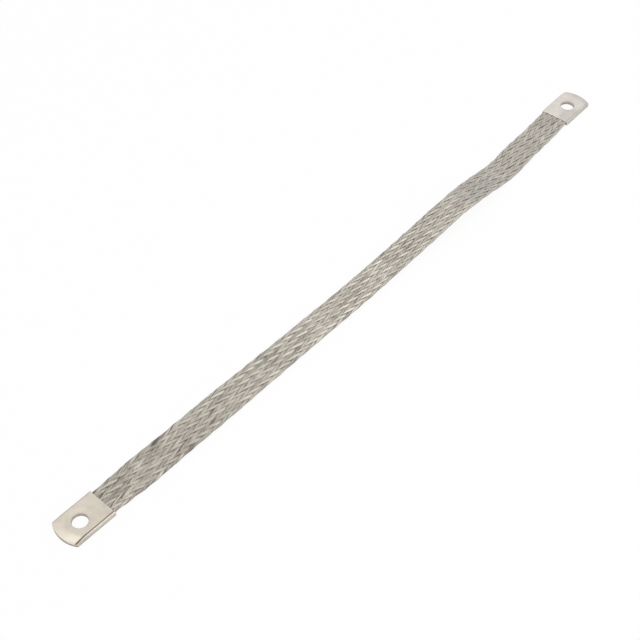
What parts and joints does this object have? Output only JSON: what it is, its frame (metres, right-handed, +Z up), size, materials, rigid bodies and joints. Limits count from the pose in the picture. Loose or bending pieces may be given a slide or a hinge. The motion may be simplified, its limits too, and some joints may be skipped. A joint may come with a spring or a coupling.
{
  "type": "flexible busbar braid",
  "caption": "Flat flexible conductor: a tubular braid of fine tinned wire with a pressed, bolt-down palm at each end.",
  "frame": {"origin": "centre of the overall box, at the height of the palms' undersides", "axes": "+X from the bolt hole of the sharp-cornered near palm towards the bolt hole of the round-cornered far palm, +Y across the strap, +Z up, away from what the strap lies on"},
  "size_m": [0.5318, 0.0272, 0.0086],
  "materials": {
    "tinned_tube": "satin tin plate, drawn and pressed",
    "tinned_wire": "satin tinned wire, woven"
  },
  "bodies": {
    "root": {"near_palm": "tinned_tube", "far_palm": "tinned_tube", "braid": "tinned_wire"}
  },
  "joints": []
}
